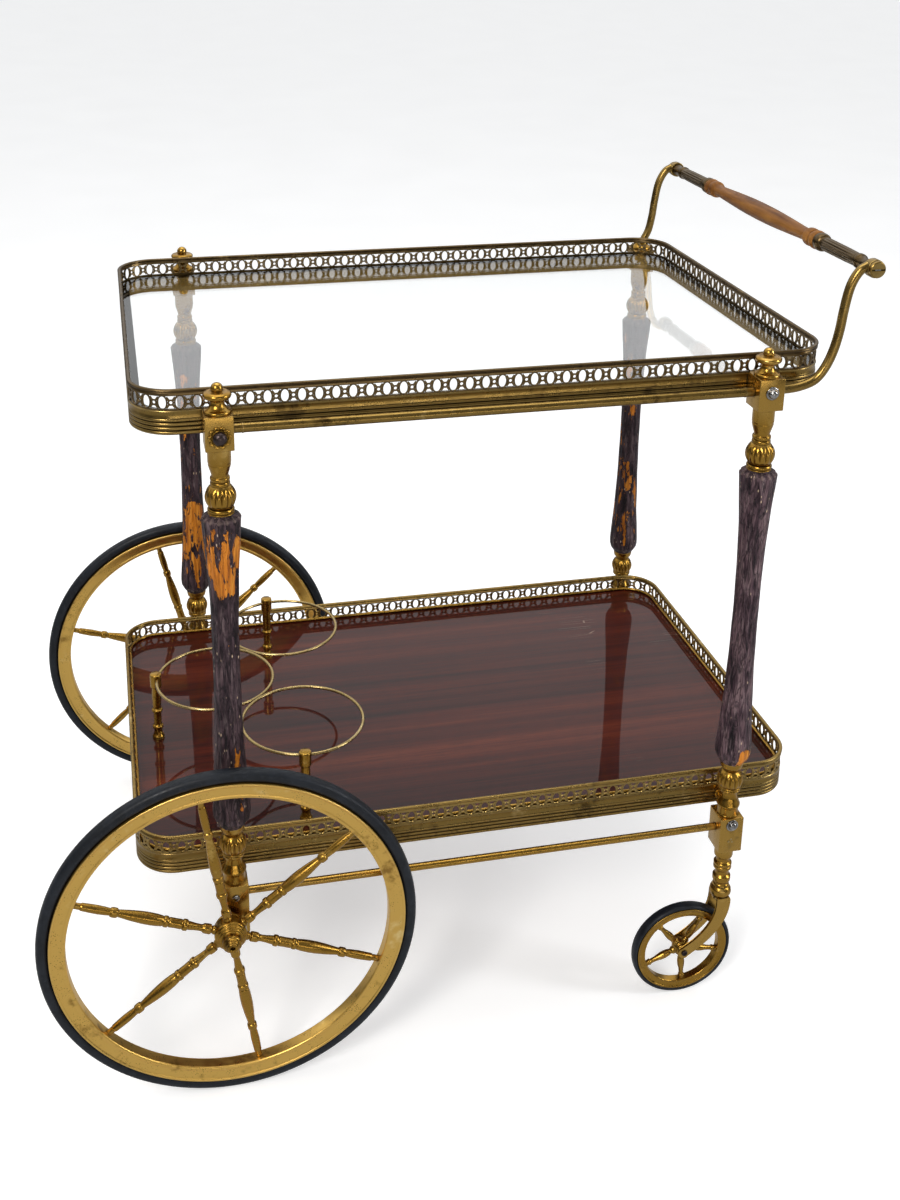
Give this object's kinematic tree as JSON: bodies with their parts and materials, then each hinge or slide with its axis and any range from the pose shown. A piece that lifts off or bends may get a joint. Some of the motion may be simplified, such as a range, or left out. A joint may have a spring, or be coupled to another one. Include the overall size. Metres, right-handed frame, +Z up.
{
  "type": "bar cart",
  "caption": "Two-tier bar cart with pierced brass galleries, glass top, wooden shelf, turned wooden legs, large spoked wheels, swivel casters, bottle rings and a wooden push handle.",
  "frame": {"origin": "on the floor under the middle of the overall box", "axes": "+X towards the handle end, -Y the near side, +Z up"},
  "size_m": [0.8525, 0.6166, 0.8538],
  "materials": {
    "aged_brass": "aged, worn bright on edges and dark in recesses",
    "dark_brass": "tarnished nearly black",
    "plated_steel": "bright plating",
    "steel": "plain turned rod",
    "glass": "clear, polished edges",
    "mahogany": "dark red-brown veneer under high-gloss lacquer",
    "painted_wood": "worn dark purple-grey paint over orange wood",
    "grip_wood": "turned and varnished",
    "rubber": "smooth blue-black rubber"
  },
  "bodies": {
    "cart": {"top_frame": "aged_brass", "top_gallery": "aged_brass", "top_gallery_rim": "aged_brass", "glass_panel": "glass", "lower_frame": "aged_brass", "lower_gallery": "aged_brass", "lower_gallery_rim": "aged_brass", "lower_inner_bead": "aged_brass", "bottle_posts": "aged_brass", "bottle_rings": "aged_brass", "lower_panel": "mahogany", "bottle_post_nuts": "plated_steel", "leg_near_left": "painted_wood", "leg_near_right": "painted_wood", "leg_far_left": "painted_wood", "leg_far_right": "painted_wood", "upper_ferrules": "aged_brass", "lower_ferrules": "aged_brass", "upper_blocks": "aged_brass", "lower_blocks_wheel_end": "aged_brass", "lower_blocks_handle_end": "aged_brass", "finials": "aged_brass", "upper_block_nuts": "plated_steel", "rosette_nut": "dark_brass", "lower_block_screws": "plated_steel", "near_rail": "aged_brass", "far_rail": "aged_brass", "near_stretcher": "aged_brass", "far_stretcher": "aged_brass", "near_arm": "aged_brass", "far_arm": "aged_brass", "far_arm_socket": "aged_brass", "handle_rod": "steel", "handle_grip": "grip_wood", "handle_sleeve_far": "aged_brass", "handle_sleeve_near": "aged_brass", "handle_end_screws": "aged_brass", "axle": "steel", "axle_spacers": "aged_brass", "hub_caps": "aged_brass", "caster_sockets": "aged_brass"},
    "wheel_near": {"wheel_near_tyre": "rubber", "wheel_near_rim": "aged_brass", "wheel_near_hub": "aged_brass", "wheel_near_spokes": "aged_brass"},
    "wheel_far": {"wheel_far_tyre": "rubber", "wheel_far_rim": "aged_brass", "wheel_far_hub": "aged_brass", "wheel_far_spokes": "aged_brass"},
    "caster_near_swivel": {"caster_near_fork": "aged_brass", "caster_near_axle": "aged_brass"},
    "caster_near_roller": {"caster_near_tyre": "rubber", "caster_near_wheel": "aged_brass"},
    "caster_far_swivel": {"caster_far_fork": "aged_brass", "caster_far_axle": "aged_brass"},
    "caster_far_roller": {"caster_far_tyre": "rubber", "caster_far_wheel": "aged_brass"}
  },
  "joints": [
    {"name": "wheel_near_spin", "type": "hinge", "parent": "cart", "child": "wheel_near", "pos_m": [-0.2355, -0.2844, 0.1908], "axis": [0, 1, 0], "continuous": true},
    {"name": "wheel_far_spin", "type": "hinge", "parent": "cart", "child": "wheel_far", "pos_m": [-0.2355, 0.2844, 0.1908], "axis": [0, 1, 0], "continuous": true},
    {"name": "caster_near_turn", "type": "hinge", "parent": "cart", "child": "caster_near_swivel", "pos_m": [0.3126, -0.2524, 0.13], "axis": [0, 0, 1], "continuous": true},
    {"name": "caster_near_spin", "type": "hinge", "parent": "caster_near_swivel", "child": "caster_near_roller", "pos_m": [0.2702, -0.2524, 0.0577], "axis": [0, 1, 0], "continuous": true},
    {"name": "caster_far_turn", "type": "hinge", "parent": "cart", "child": "caster_far_swivel", "pos_m": [0.3736, 0.2524, 0.13], "axis": [0, 0, 1], "continuous": true},
    {"name": "caster_far_spin", "type": "hinge", "parent": "caster_far_swivel", "child": "caster_far_roller", "pos_m": [0.3312, 0.2524, 0.0577], "axis": [0, 1, 0], "continuous": true}
  ]
}
